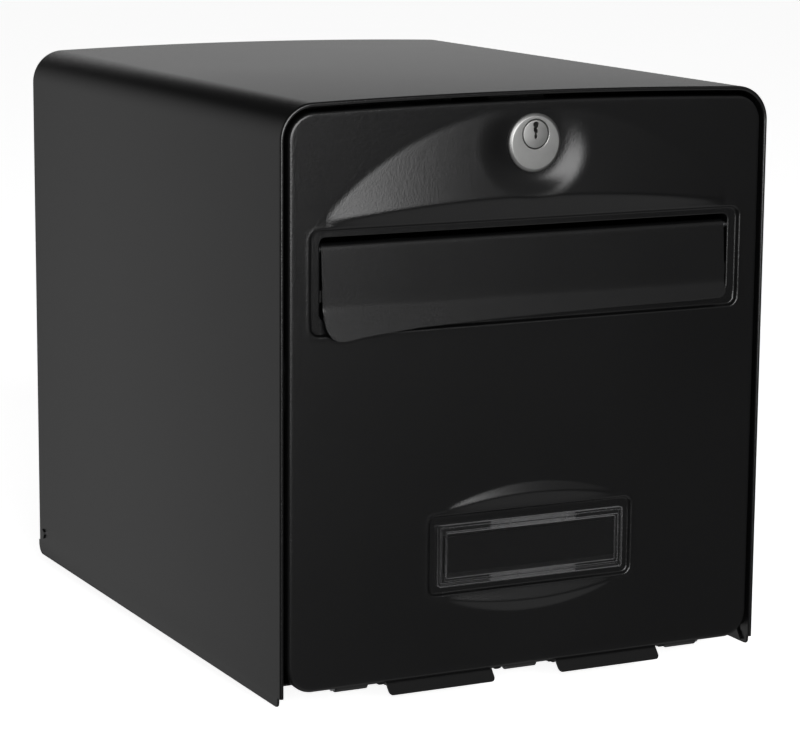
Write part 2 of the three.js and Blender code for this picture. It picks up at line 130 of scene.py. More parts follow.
# ---------- mesh helpers ----------
def add_object(name, points, faces, body, material, replaced=(), sharp=32, closed=True):
    """A mesh piece from points in millimetres, riding on a body. A closed one gets its faces
    turned outwards; an open sheet keeps them as they are built."""
    mesh = bpy.data.meshes.new(name)
    mesh.from_pydata([(x * MM, FACE + y * MM, z * MM) for x, y, z in points], [], faces)
    mesh.materials.append(material)
    if closed:
        face_outwards(mesh)
    obj = bpy.data.objects.new(name, mesh)
    bpy.context.scene.collection.objects.link(obj)
    shade(obj, sharp)
    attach(obj, body)
    if replaced:
        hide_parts(*replaced)
    return obj


def face_outwards(mesh):
    """Makes all faces of closed shells look outwards."""
    work = bmesh.new()
    work.from_mesh(mesh)
    bmesh.ops.recalc_face_normals(work, faces=work.faces)
    work.to_mesh(mesh)
    work.free()


def shade(obj, sharp):
    """Smooth shading that keeps the edges sharper than this many degrees."""
    obj.data.shade_smooth()
    obj.data.set_sharp_from_angle(angle=math.radians(sharp))


def bevel(obj, width, segments=2, limit=35):
    """Small rounding, in millimetres, on edges sharper than the limit."""
    rounding = obj.modifiers.new("Edges", "BEVEL")
    rounding.width = width * MM
    rounding.segments = segments
    rounding.limit_method = "ANGLE"
    rounding.angle_limit = math.radians(limit)
    rounding.harden_normals = True
    return obj


def thicken(obj, thickness):
    """Gives an open sheet its thickness, away from the side that its faces look to."""
    skin = obj.modifiers.new("Thickness", "SOLIDIFY")
    skin.thickness = thickness * MM
    skin.offset = -1
    return obj


class Builder:
    """Collects points and faces of one or more shells."""

    def __init__(self):
        self.points = []
        self.faces = []

    def loop(self, points):
        start = len(self.points)
        self.points.extend(tuple(float(c) for c in p) for p in points)
        return list(range(start, len(self.points)))

    def bridge(self, a, b, closed=True):
        count = len(a)
        for k in range(count if closed else count - 1):
            n = (k + 1) % count
            self.faces.append((a[k], b[k], b[n], a[n]))

    def cap(self, ring, flip=False):
        self.faces.append(tuple(reversed(ring)) if flip else tuple(ring))

    def filled(self, outline, holes, flip=False):
        """A flat face with holes: loops of point numbers."""
        loops = [outline, *holes]
        numbers = [n for one in loops for n in one]
        for triangle in tessellate_polygon([[Vector(self.points[n]) for n in one] for one in loops]):
            corners = [numbers[k] for k in triangle]
            self.faces.append(tuple(reversed(corners)) if flip else tuple(corners))


def prism(builder, outline, along, low, high):
    """A closed slab: an outline of (u, v) pairs pushed along x or y from low to high."""
    place = {"x": lambda u, v, t: (t, u, v), "y": lambda u, v, t: (u, t, v)}[along]
    near = builder.loop(place(u, v, low) for u, v in outline)
    far = builder.loop(place(u, v, high) for u, v in outline)
    area = sum(a[0] * b[1] - b[0] * a[1] for a, b in zip(outline, outline[1:] + outline[:1]))
    if (area > 0) == (along == "x"):
        near, far = far, near
    builder.bridge(far, near)
    builder.cap(far)
    builder.cap(near, flip=True)


def arc(cx, cz, r, start, end, steps):
    """Points on a circle, angles in degrees."""
    turns = np.radians(np.linspace(start, end, steps + 1))
    return [(cx + r * math.cos(t), cz + r * math.sin(t)) for t in turns]


def rounded(x0, x1, z0, z1, r, steps=6):
    return [*arc(x1 - r, z0 + r, r, -90, 0, steps), *arc(x1 - r, z1 - r, r, 0, 90, steps),
            *arc(x0 + r, z1 - r, r, 90, 180, steps), *arc(x0 + r, z0 + r, r, 180, 270, steps)]


def smooth_max(a, b, k):
    share = np.clip(0.5 + 0.5 * (a - b) / k, 0, 1)
    return b + (a - b) * share + k * share * (1 - share)


def smooth_min(a, b, k):
    return -smooth_max(-a, -b, k)


def ease(t):
    t = np.clip(t, 0, 1)
    return t * t * (3 - 2 * t)


# ---------- materials ----------
class Nodes:
    """Short ways to add and link shader nodes."""

    def __init__(self, tree):
        self.tree = tree

    def add(self, kind, **settings):
        node = self.tree.nodes.new(kind)
        for key, value in settings.items():
            setattr(node, key, value)
        return node

    def link(self, source, target):
        self.tree.links.new(source, target)

    def noise(self, vector, scale, detail=2, roughness=0.5):
        node = self.add("ShaderNodeTexNoise")
        node.inputs["Scale"].default_value = scale
        node.inputs["Detail"].default_value = detail
        node.inputs["Roughness"].default_value = roughness
        self.link(vector, node.inputs["Vector"])
        return node.outputs["Fac"]

    def spread(self, value, low, high):
        node = self.add("ShaderNodeMapRange")
        node.inputs["To Min"].default_value = low
        node.inputs["To Max"].default_value = high
        self.link(value, node.inputs["Value"])
        return node.outputs["Result"]

    def tint(self, value, dark, light):
        node = self.add("ShaderNodeMix", data_type="RGBA")
        node.inputs["A"].default_value = (*dark, 1)
        node.inputs["B"].default_value = (*light, 1)
        self.link(value, node.inputs["Factor"])
        return node.outputs["Result"]

    def bump(self, height, strength, distance, base=None):
        node = self.add("ShaderNodeBump")
        node.inputs["Strength"].default_value = strength
        node.inputs["Distance"].default_value = distance
        self.link(height, node.inputs["Height"])
        if base:
            self.link(base, node.inputs["Normal"])
        return node.outputs["Normal"]


def new_material(name, **values):
    material = bpy.data.materials.new(name)
    material.use_nodes = True
    shader = material.node_tree.nodes["Principled BSDF"]
    for key, value in values.items():
        shader.inputs[key.replace("_", " ")].default_value = value
    nodes = Nodes(material.node_tree)
    where = nodes.add("ShaderNodeTexCoord").outputs["Object"]
    return material, nodes, shader, where


def powder_coat():
    """Fine-textured satin powder coat: close grain, a faint orange peel and uneven sheen."""
    material, nodes, shader, where = new_material("powder_coat", IOR=1.5)
    grain = nodes.noise(where, 1150, 2, 0.6)
    peel = nodes.noise(where, 420, 1)
    cloud = nodes.noise(where, 9, 3)
    nodes.link(nodes.tint(cloud, (0.0022, 0.0022, 0.0023), (0.003, 0.003, 0.0031)),
               shader.inputs["Base Color"])
    nodes.link(nodes.spread(cloud, 0.22, 0.25), shader.inputs["Roughness"])
    soft = nodes.bump(peel, 0.25, 0.00004)
    nodes.link(nodes.bump(grain, 0.7, 0.00011, soft), shader.inputs["Normal"])
    return material


def lock_chrome():
    """Satin nickel: fine brushing and slightly uneven polish."""
    material, nodes, shader, where = new_material("lock_chrome", Metallic=1.0)
    stretch = nodes.add("ShaderNodeMapping")
    stretch.inputs["Scale"].default_value = (1, 1, 14)
    nodes.link(where, stretch.inputs["Vector"])
    brush = nodes.noise(stretch.outputs["Vector"], 320, 3)
    cloud = nodes.noise(where, 160, 2)
    nodes.link(nodes.tint(cloud, (0.29, 0.29, 0.285), (0.35, 0.35, 0.345)),
               shader.inputs["Base Color"])
    nodes.link(nodes.spread(brush, 0.4, 0.5), shader.inputs["Roughness"])
    nodes.link(nodes.bump(brush, 0.15, 0.00002), shader.inputs["Normal"])
    return material


def zinc_steel():
    """Zinc-plated steel: cloudy, with a soft grain."""
    material, nodes, shader, where = new_material("zinc_steel", Metallic=1.0)
    cloud = nodes.noise(where, 210, 4, 0.6)
    nodes.link(nodes.tint(cloud, (0.3, 0.3, 0.31), (0.46, 0.46, 0.47)),
               shader.inputs["Base Color"])
    nodes.link(nodes.spread(cloud, 0.28, 0.46), shader.inputs["Roughness"])
    nodes.link(nodes.bump(cloud, 0.1, 0.00003), shader.inputs["Normal"])
    return material


def buffer_rubber():
    material, nodes, shader, where = new_material("buffer_rubber")
    grain = nodes.noise(where, 2200, 2)
    nodes.link(nodes.tint(grain, (0.008, 0.008, 0.008), (0.015, 0.015, 0.015)),
               shader.inputs["Base Color"])
    nodes.link(nodes.spread(grain, 0.75, 0.9), shader.inputs["Roughness"])
    nodes.link(nodes.bump(grain, 0.3, 0.00005), shader.inputs["Normal"])
    return material


def card_black():
    """Dark card insert with a faint paper grain."""
    material, nodes, shader, where = new_material("card_black", Specular_IOR_Level=0.06)
    fibre = nodes.noise(where, 900, 4, 0.6)
    nodes.link(nodes.tint(fibre, (0.002, 0.002, 0.0021), (0.0036, 0.0036, 0.0037)),
               shader.inputs["Base Color"])
    nodes.link(nodes.spread(fibre, 0.34, 0.42), shader.inputs["Roughness"])
    nodes.link(nodes.bump(fibre, 0.2, 0.00002), shader.inputs["Normal"])
    return material


def clear_cover():
    """Clear moulded plastic with faint surface waviness. Its grey base shows more towards grazing
    angles, a painted reflection along the rounded edges.
    """
    material, nodes, shader, where = new_material("clear_cover", IOR=1.49)
    haze = nodes.noise(where, 130, 2)
    nodes.link(nodes.tint(haze, (0.3, 0.3, 0.305), (0.36, 0.36, 0.365)),
               shader.inputs["Base Color"])
    nodes.link(nodes.spread(haze, 0.06, 0.12), shader.inputs["Roughness"])
    # Painted reflection: the alpha goes from nearly see-through face-on to mostly opaque grey at
    # grazing angles, so the rounded edges show as lighter lines.
    edge = nodes.add("ShaderNodeLayerWeight")
    edge.inputs["Blend"].default_value = 0.3
    edge_reflection_alpha = nodes.add("ShaderNodeMapRange")
    edge_reflection_alpha.inputs["From Min"].default_value = 0.3
    edge_reflection_alpha.inputs["From Max"].default_value = 0.6
    edge_reflection_alpha.inputs["To Min"].default_value = 0.004
    edge_reflection_alpha.inputs["To Max"].default_value = 0.8
    nodes.link(edge.outputs["Facing"], edge_reflection_alpha.inputs["Value"])
    nodes.link(edge_reflection_alpha.outputs["Result"], shader.inputs["Alpha"])
    nodes.link(nodes.bump(haze, 0.04, 0.00003), shader.inputs["Normal"])
    return material


COAT = powder_coat()
CHROME = lock_chrome()
ZINC = zinc_steel()
RUBBER = buffer_rubber()
CARD = card_black()
CLEAR = clear_cover()


# ---------- casing ----------
def case_stations():
    """Points along the arch, from the left foot over the top to the right foot, each with the
    direction towards the inside."""
    corner_x = WIDTH / 2 - CASE_R
    corner_z = SHOULDER - CASE_R
    heights = [0, 0.1, 0.35, 0.8, 1.5, NOTCH_R, HEM_BOTTOM - 0.01, HEM_BOTTOM, 5.5, 6, 6.5,
               HEM_BOTTOM + HEM_RISE, REAR_FLANGE_BOTTOM - 0.01, REAR_FLANGE_BOTTOM, 20, 60,
               120, 180, 240]
    left = [(-WIDTH / 2, z, 1, 0) for z in heights]
    for turn in np.radians(np.linspace(180, 90, 19)):
        c, s = math.cos(turn), math.sin(turn)
        left.append((-corner_x + CASE_R * c, corner_z + CASE_R * s, -c, -s))
    top = []
    for x in np.linspace(-corner_x, corner_x, 26)[1:-1]:
        top.append((x, SHOULDER + CROWN * (1 - (x / corner_x) ** 2), 0, -1))
    right = [(-x, z, -nx, nz) for x, z, nx, nz in reversed(left)]
    return [*left, *top, *right]


def casing_section(z):
    """Closed section of the sheet at this height: (Y, distance in from the outside)."""
    hem = HEM if z >= HEM_BOTTOM else SHEET
    rear = DEPTH
    if z < REAR_CORNER:
        rear = DEPTH - REAR_CORNER + math.sqrt(REAR_CORNER ** 2 - (REAR_CORNER - z) ** 2)
    start = 0
    if z < HEM_BOTTOM:
        start = NOTCH + NOTCH_R - math.sqrt(NOTCH_R ** 2 - max(NOTCH_R - z, 0) ** 2)
    front = [(start + hem / 2 - hem / 2 * math.cos(t), hem / 2 + hem / 2 * math.sin(t))
             for t in np.radians(np.linspace(-90, 90, 11))]
    fold = HEM_DEPTH
    if z < HEM_BOTTOM + HEM_RISE:
        fold = max(HEM_DEPTH * (z - HEM_BOTTOM) / HEM_RISE, start + 1.6)
    step = [(fold - 0.3, hem), (fold, max(hem - 0.3, SHEET)), (fold, SHEET + 0.01)]
    quarter = np.radians(np.linspace(0, 90, 7))
    if z >= REAR_FLANGE_BOTTOM:
        r = REAR_BEND - SHEET
        inner = [(rear - SHEET - r + r * math.sin(t), SHEET + r - r * math.cos(t))
                 for t in quarter]
        edge = [(rear - SHEET, REAR_FLANGE - 0.2), (rear - SHEET + 0.2, REAR_FLANGE),
                (rear - 0.2, REAR_FLANGE), (rear, REAR_FLANGE - 0.2)]
        outer = [(rear - REAR_BEND + REAR_BEND * math.sin(t),
                  REAR_BEND - REAR_BEND * math.cos(t)) for t in quarter[::-1]]
    else:
        half = SHEET / 2
        inner = [(rear - half + half * math.sin(t), half + half * math.cos(t))
                 for t in quarter]
        edge = [(rear, half)] * 4
        outer = [(rear - half + half * math.sin(t), half - half * math.cos(t))
                 for t in quarter[::-1]]
    return [*front, *step, *inner, *edge, *outer]


def make_casing():
    """The inverted U in one bent sheet, with a turned-in foot along each side."""
    build = Builder()
    rings = []
    for x, z, nx, nz in case_stations():
        rings.append(build.loop((x + nx * inset, y, z + nz * inset)
                                for y, inset in casing_section(z)))
    for a, b in zip(rings, rings[1:]):
        build.bridge(a, b)
    build.cap(rings[0])
    build.cap(rings[-1], flip=True)
    for side in (-1, 1):
        low, high = sorted((side * (WIDTH / 2 - FOOT["wide"]), side * (WIDTH / 2 - 0.5)))
        prism(build, rounded(low, high, 0, SHEET, 0.5, 3), "y", FOOT["front"], FOOT["rear"])
    add_object("casing", build.points, build.faces, "housing", COAT,
               ["outer_casing"])


def make_back_panel():
    """A shallow pan with four wall-fixing holes, closing the casing's rear."""
    inset = SHEET + PANEL_GAP
    face = DEPTH - inset
    corner_x = WIDTH / 2 - CASE_R
    corner_z = SHOULDER - CASE_R

    def ring(y, back_in):
        r = CASE_R - inset - back_in
        half = WIDTH / 2 - inset - back_in
        low = inset + back_in
        top = [(x, SHOULDER - inset - back_in + CROWN * (1 - (x / corner_x) ** 2))
               for x in np.linspace(corner_x, -corner_x, 26)[1:-1]]
        outline = [(-half, low), (half, low), *arc(corner_x, corner_z, r, 0, 90, 14), *top,
                   *arc(-corner_x, corner_z, r, 90, 180, 14)]
        return build.loop((x, y, z) for x, z in outline)

    build = Builder()
    flat = ring(face, PANEL_BEND + 0.4)
    rings = [flat, ring(face, PANEL_BEND)]
    for t in np.radians([22.5, 45, 67.5, 90]):
        rings.append(ring(face - PANEL_BEND + PANEL_BEND * math.cos(t),
                          PANEL_BEND - PANEL_BEND * math.sin(t)))
    rings.append(ring(face - PANEL_DEPTH, 0))
    for a, b in zip(rings, rings[1:]):
        build.bridge(b, a)
    holes = [build.loop((x, face, z) for x, z in arc(cx, cz, WALL_HOLE["r"], 0, 345, 23))
             for cx in (-WALL_HOLE["x"], WALL_HOLE["x"]) for cz in WALL_HOLE["z"]]
    build.filled(flat, holes, flip=True)
    panel = add_object("back_panel", build.points, build.faces, "housing", COAT,
                       ["rear_panel"])
    for polygon in panel.data.polygons:
        polygon.use_smooth = abs(polygon.normal.y) < 0.999
    thicken(panel, SHEET)


# ---------- door ----------
def frame_distance(x, z, frame_x, half, low, high, r):
    """Distance outside a rounded rectangle, negative within it."""
    qx = np.abs(x - frame_x) - (half - r)
    qz = np.abs(z - (low + high) / 2) - ((high - low) / 2 - r)
    outside = np.hypot(np.maximum(qx, 0), np.maximum(qz, 0))
    return outside + np.minimum(np.maximum(qx, qz), 0) - r


def slot_distance(x, z):
    return frame_distance(x, z, 0, SLOT["half"], SLOT["bottom"], SLOT["top"], SLOT["r"])


def ridge(x_share, z, outer, crest, edge, lift, crease, rim):
    """Height of a pressed ridge: a long ramp from the outer arc to the crest, and a short facet
    from the crest to the straight edge."""
    ramp = lift * (outer - z) / (outer - crest)
    facet = lift * (z - edge) / (crest - edge)
    height = smooth_min(ramp, facet, crease)
    height = np.where(np.abs(x_share) < 1, height, -1)
    return smooth_max(height, 0, rim) - rim / 4 * np.exp(-(height / rim) ** 2)


def brow_height(x, z):
    """Brow over the slot: its outer line is an arc, its crest a flat parabola. A round dish
    clears the lock's seat."""
    half, arc_r = BROW["half"], BROW["arc_r"]
    share = x / (half + 1.5)
    safe = np.clip(x, -half, half)
    outer = BROW["top"] - arc_r + np.sqrt(arc_r ** 2 - safe ** 2)
    crest = BROW["crest"] - BROW["sag"] * (safe / half) ** 2
    lift = BROW["lift"] * (1 - np.abs(np.clip(share, -1, 1)) ** 2.6)
    height = ridge(share, z, outer, crest, BROW["edge"], lift, 0.7, 0.22)
    distance = np.hypot(x, z - LOCK["z"]) + 1e-6
    away = (distance - LOCK["seat"]) / (DISH + 3 * (x / distance) ** 2)
    return height * smooth_min(smooth_max(away, 0, 0.3), 1, 0.3)


def lid_height(x, z, peak, crest, tip, edge):
    """Eyelid above or below the name frame."""
    u = np.clip((x - NAME["x"]) / LID_HALF, -1, 1)
    bulge = 1 - u * u
    outer = tip + (peak - tip) * bulge
    middle = (tip + edge) / 2
    ridge_z = middle + (crest - middle) * bulge
    return ridge(u, z, outer, ridge_z, edge, LID_LIFT * bulge, 0.3, 0.12)


def pressed_in(distance, depth):
    """Depth of a pressed-in frame at this distance from its outline, with its bead."""
    bead = FRAME_BEAD * np.exp(-((distance - FRAME_WALL) / BEAD_WIDTH) ** 2)
    return depth * ease(0.5 - distance / FRAME_WALL) - bead


def door_relief(x, z):
    """Y of the door's face: ridges stand forward, frames are pressed back."""
    y = -brow_height(x, z)
    for lid in LIDS:
        y = y - np.maximum(lid_height(x, z, **lid), 0)
    slot = frame_distance(x, z, 0, RECESS["half"], RECESS["bottom"], RECESS["top"], RECESS["r"])
    name = frame_distance(x, z, NAME["x"], NAME["half"], NAME["z"] - NAME["tall"],
                          NAME["z"] + NAME["tall"], NAME["r"])
    return y + pressed_in(slot, RECESS["depth"]) + pressed_in(name, NAME["depth"])


def grid_lines(fixed, spans):
    """Grid lines: the fixed ones, and evenly spaced ones where none of them is near."""
    lines = list(fixed)
    for low, high, step in spans:
        count = max(1, round((high - low) / step))
        for value in np.linspace(low, high, count + 1):
            if min(abs(value - line) for line in lines) > 0.42 * step:
                lines.append(float(value))
    return np.array(sorted(lines))


def corner_lines(r):
    """Offsets along a quarter circle, for lines that meet on it."""
    return [r * math.sin(math.radians(t)) for t in range(15, 91, 15)]


def door_columns():
    """X of the door's grid lines: fine at the frames' walls, even elsewhere."""
    half, r = SLOT["half"], SLOT["r"]
    name_edges = [NAME["x"] - NAME["half"], NAME["x"] + NAME["half"]]
    fixed = [0]
    for side in (-1, 1):
        fixed += [side * (half - r + offset) for offset in (0, *corner_lines(r))]
        fixed += [side * offset for offset in corner_lines(BORE)]
        fixed += [side * (DOOR_HALF - v) for v in (DOOR_R_TOP, DOOR_EDGE_R, DOOR_R_BOTTOM)]
    edge = DOOR_HALF - DOOR_EDGE_R
    spans = [(wall - 3, wall + 3, 0.35)
             for wall in (-RECESS["half"], RECESS["half"], *name_edges)]
    return grid_lines(fixed, [*spans, (-edge, edge, 1.25)])


def door_rows():
    """Z of the door's grid lines."""
    bottom, top, r = SLOT["bottom"], SLOT["top"], SLOT["r"]
    fixed = [DOOR_BOTTOM + DOOR_EDGE_R, DOOR_BOTTOM + DOOR_R_BOTTOM,
             DOOR_SHOULDER - DOOR_R_TOP, DOOR_SHOULDER - DOOR_EDGE_R, LOCK["z"]]
    fixed += [bottom + r - offset for offset in (0, *corner_lines(r))]
    fixed += [top - r + offset for offset in (0, *corner_lines(r))]
    fixed += [LOCK["z"] + sign * offset for sign in (-1, 1) for offset in corner_lines(BORE)]
    name_low, name_high = NAME["z"] - NAME["tall"], NAME["z"] + NAME["tall"]
    spans = [(edge - 3, edge + 3, 0.35)
             for edge in (RECESS["bottom"], RECESS["top"], name_low, name_high)]
    spans += [(34, 49, 0.8), (90, 105, 0.8), (BROW["edge"], 254.3, 0.7), (254.3, 296.8, 1.0),
              (DOOR_BOTTOM + DOOR_EDGE_R, 34, 2.5), (49, 90, 3), (105, 240, 4.5)]
    return grid_lines(fixed, spans)


def door_point(x, z):
    """Moves a grid crossing so that the grid's edge follows the door's rounded outline."""
    side = 1 if x > 0 else -1
    for centre_x, centre_z, radius, up in DOOR_CORNERS:
        r = radius - DOOR_EDGE_R
        u = (abs(x) - centre_x) / r
        v = (z - centre_z) * up / r
        if u > 1e-6 and v > 1e-6:
            return (side * (centre_x + r * u * math.sqrt(1 - v * v / 2)),
                    centre_z + up * r * v * math.sqrt(1 - u * u / 2))
    edge = DOOR_SHOULDER - DOOR_EDGE_R
    run = DOOR_HALF - DOOR_R_TOP
    start = LOCK["z"] + BORE + 0.3
    if abs(x) < run and z > start:
        z += CROWN * (1 - (x / run) ** 2) * (z - start) / (edge - start)
    return x, z


def outward(x, z):
    """Direction square to the door's outline at a point on the grid's edge."""
    for centre_x, centre_z, _, up in DOOR_CORNERS:
        u = abs(x) - centre_x
        v = (z - centre_z) * up
        if v > 1e-4:
            if u <= 1e-4:
                return 0, up
            length = math.hypot(u, v)
            return math.copysign(u / length, x), up * v / length
    return math.copysign(1, x), 0


def make_door():
    """The door's pressed sheet: a grid with the slot and the bore left out, a rounded edge and
    a turned-back flange."""
    xs, zs = door_columns(), door_rows()
    flat = np.array([[door_point(x, z) for z in zs] for x in xs])
    depth = door_relief(flat[..., 0], flat[..., 1])
    across, tall = len(xs), len(zs)
    build = Builder()
    build.loop((flat[i, j, 0], depth[i, j], flat[i, j, 1])
               for i in range(across) for j in range(tall))
    gap = np.minimum(slot_distance(flat[..., 0], flat[..., 1]),
                     np.hypot(flat[..., 0], flat[..., 1] - LOCK["z"]) - BORE)
    for i in range(across - 1):
        for j in range(tall - 1):
            corners = [(i, j), (i + 1, j), (i + 1, j + 1), (i, j + 1)]
            kept = [(a, b) for a, b in corners if gap[a, b] > -1e-5]
            if len(kept) > 2 and max(gap[a, b] for a, b in kept) > 1e-4:
                build.faces.append(tuple(a * tall + b for a, b in kept))

    order = ([(i, 0) for i in range(across - 1)] + [(across - 1, j) for j in range(tall - 1)]
             + [(i, tall - 1) for i in range(across - 1, 0, -1)]
             + [(0, j) for j in range(tall - 1, 0, -1)])
    ring = [i * tall + j for i, j in order]
    rim = [(flat[i, j, 0], flat[i, j, 1], *outward(flat[i, j, 0], flat[i, j, 1]))
           for i, j in order]
    r = DOOR_EDGE_R
    for t in np.radians([12, 24, 36, 48, 60, 72, 81, 90]):
        following = build.loop((x + nx * r * math.sin(t), r - r * math.cos(t),
                                z + nz * r * math.sin(t)) for x, z, nx, nz in rim)
        build.bridge(ring, following)
        ring = following
    low = DOOR_BOTTOM + DOOR_R_BOTTOM + 2
    following = build.loop(
        (x + nx * r, DOOR_FLANGE_LOW + (DOOR_FLANGE - DOOR_FLANGE_LOW) * float(
            ease((z + nz * r - low) / 2)), z + nz * r) for x, z, nx, nz in rim)
    build.bridge(ring, following)
    used = sorted({n for face in build.faces for n in face})
    renumber = {n: k for k, n in enumerate(used)}
    door = add_object("door_skin", [build.points[n] for n in used],
                      [tuple(renumber[n] for n in face) for face in build.faces], "door", COAT,
                      ["door_panel"], 50, closed=False)
    thicken(door, SHEET)


def make_door_fittings():
    """Tongues that slant forward under the door, their shoulders, and the hinge ears."""
    tongues = Builder()
    ears = Builder()
    for side in (-1, 1):
        low, high = sorted((side * TONGUE["inner"], side * TONGUE["outer"]))
        corner = TONGUE["corner"]
        rings = [(low + corner * (1 - math.cos(t)), corner * (1 - math.sin(t)))
                 for t in np.radians(range(0, 91, 15))]
        rings += [(low + high - x, cut) for x, cut in reversed(rings)]
        loops = []
        for x, cut in rings:
            back = cut * 5 / 6
            loops.append(tongues.loop([
                (x, 1.95, 7.2), (x, 1.95, 6.4), (x, back - 3.1, 0.5 + cut),
                (x, back - 2.2, 0.12 + cut), (x, 3.05, 5.9), (x, 3.05, 7.2)]))
        for a, b in zip(loops, loops[1:]):
            tongues.bridge(b, a)
        tongues.cap(loops[0], flip=True)
        tongues.cap(loops[-1])
        for inner, outer in ((13.4, 18.5), (80.5, 85.6)):
            x0, x1 = sorted((side * inner, side * outer))
            scallop = [(x0 + (x1 - x0) * u, 6.6 - 1.1 * (1 - (2 * u - 1) ** 4))
                       for u in np.linspace(0, 1, 15)]
            prism(tongues, [*scallop, (x1, 7.2), (x0, 7.2)], "y", 1.3, 3.0)
        for x in (20, 77):
            x0, x1 = sorted((side * x, side * (x + SHEET)))
            outline = [(0.6, 7.6), (HINGE["y"] - 1, HINGE["z"] - 3.2),
                       *arc(HINGE["y"], HINGE["z"], EAR_R, -90, 90, 12), (0.6, 15)]
            prism(ears, outline, "x", x0, x1)
    bevel(add_object("door_tongues", tongues.points, tongues.faces, "door", COAT), 0.3)
    bevel(add_object("hinge_ears", ears.points, ears.faces, "door", COAT), 0.15)


# ---------- letter flap ----------
def make_flap():
    """A curled top round the rod, a flat face, a fold and a flared lip, deeper at the left."""
    face_y = PIVOT["y"] - CURL_R
    fold = (FLAP_FOLD["y"], FLAP_FOLD["z"])
    edge_x = [-116.5, -116.3, -115.4, -113.6, -110.6, -106, -93, -65, -18, 42, 101, 114, 116.1,
              116.5]
    edge_z = [197.8, 193.8, 190.3, 187.3, 185.8, 185.4, 187.2, 189.5, 191.2, 192.3, 192.7,
              193.2, 194.9, 196.3]
    xs = sorted({-116.5, -116.4, -116.1, -115.7, -115.2, -114.5, -113.6, -112.2, -110.6, -108.4,
                 *np.linspace(-106, 112, 60), 113.2, 114, 114.8, 115.5, 116.1, 116.4, 116.5})
    build = Builder()
    rings = []
    for x in xs:
        low = float(np.interp(x, edge_x, edge_z))
        lip_y = fold[0] - LIP_LEAN * (fold[1] - low)
        line = []
        for s in np.linspace(0, 0.86, 5):
            line.append((lip_y + (fold[0] - lip_y) * s, low + (fold[1] - low) * s))
        start = line[-1]
        face_lean = (face_y - fold[0]) / (PIVOT["z"] - fold[1])
        finish = (fold[0] + face_lean * 2.4, fold[1] + 2.4)
        for s in (0.2, 0.4, 0.6, 0.8, 1.0):
            a = [start[k] + (fold[k] - start[k]) * s for k in (0, 1)]
            b = [fold[k] + (finish[k] - fold[k]) * s for k in (0, 1)]
            line.append((a[0] + (b[0] - a[0]) * s, a[1] + (b[1] - a[1]) * s))
        for z in np.linspace(207.3, PIVOT["z"] - 1, 6):
            line.append((fold[0] + face_lean * (z - fold[1]), z))
        front = list(line)
        rear = [(y + FLAP_SHEET, z - (0.34 if z < fold[1] else 0)) for y, z in line]
        turns = np.radians(np.linspace(180, -95, 20))
        for side, r in ((front, CURL_R), (rear, CURL_R - FLAP_SHEET)):
            side += [(PIVOT["y"] + r * math.cos(t), PIVOT["z"] + r * math.sin(t)) for t in turns]
        nose = (front[0][0] + 0.35, front[0][1] - 0.4)
        rings.append(build.loop((x, y, z) for y, z in [nose, *front, *reversed(rear)]))
    for a, b in zip(rings, rings[1:]):
        build.bridge(b, a)
    build.cap(rings[0], flip=True)
    build.cap(rings[-1])
    add_object("letter_flap", build.points, build.faces, "flap", COAT,
               ["slot_flap"], 40)


# ---------- lock ----------
def circle(build, centre_z, r, y, count=96):
    return build.loop((r * math.sin(t), y, centre_z + r * math.cos(t))
                      for t in np.linspace(0, 2 * math.pi, count, endpoint=False))


def make_lock_barrel():
    """Round nickel face with a rolled bevel and an off-centre bore."""
    z, face, body = LOCK["z"], LOCK["face"], LOCK["body"]
    front, rear = LOCK["front"], LOCK["rear"]
    build = Builder()
    profile = [(PLUG["bore"], rear), (PLUG["bore"], front + 0.5), (PLUG["bore"] + 0.12,
               front + 0.18), (PLUG["bore"] + 0.4, front)]
    rings = [circle(build, PLUG["z"], r, y) for r, y in profile]
    rings.append(circle(build, PLUG["z"], PLUG["bore"] + 0.6, front))
    outer = [(face - 1.9, front), (face - 1.6, front + 0.02), (face - 1.3, front + 0.16),
             (face - 0.5, front + 0.75), (face - 0.2, front + 1.0), (face, front + 1.4),
             (face, -0.35), (body, -0.3), (body, rear - 0.5), (body - 0.5, rear)]
    rings += [circle(build, z, r, y) for r, y in outer]
    rings.append(rings[0])
    for a, b in zip(rings, rings[1:]):
        build.bridge(a, b)
    add_object("lock_face", build.points, build.faces, "door", CHROME,
               ["lock_barrel"], 24)


def make_lock_plug():
    """Turning plug with a chamfered edge and a stepped keyway."""
    z, r = PLUG["z"], PLUG["r"]
    front = LOCK["front"] + 0.2
    rear = LOCK["rear"] + 0.3
    build = Builder()
    outer = [circle(build, z, radius, y) for radius, y in (
        (r - 0.5, front), (r - 0.25, front + 0.05), (r, front + 0.35), (r, rear))]
    for a, b in zip(outer, outer[1:]):
        build.bridge(a, b)
    key = [(-0.6, 6.3), (1.2, 6.2), (1.5, 5.2), (1.2, 3.6), (0.5, 3.0), (1.1, 2.2), (1.1, 0.9),
           (0.3, 0.2), (0.8, -0.9), (0.5, -2.3), (-0.5, -2.3), (-0.8, -0.6), (-0.3, 0.3),
           (-1.2, 1.6), (-1.3, 3.0), (-0.8, 3.7), (-1.6, 4.4), (-1.4, 5.6)]
    mouth = build.loop((x, front, z + v) for x, v in key)
    deep = build.loop((x, front + 13, z + v) for x, v in key)
    build.filled(outer[0], [mouth])
    build.bridge(deep, mouth)
    build.cap(deep)
    build.cap(outer[-1], flip=True)
    add_object("lock_core_plug", build.points, build.faces, "lock_core", CHROME,
               ["lock_plug"], 24)


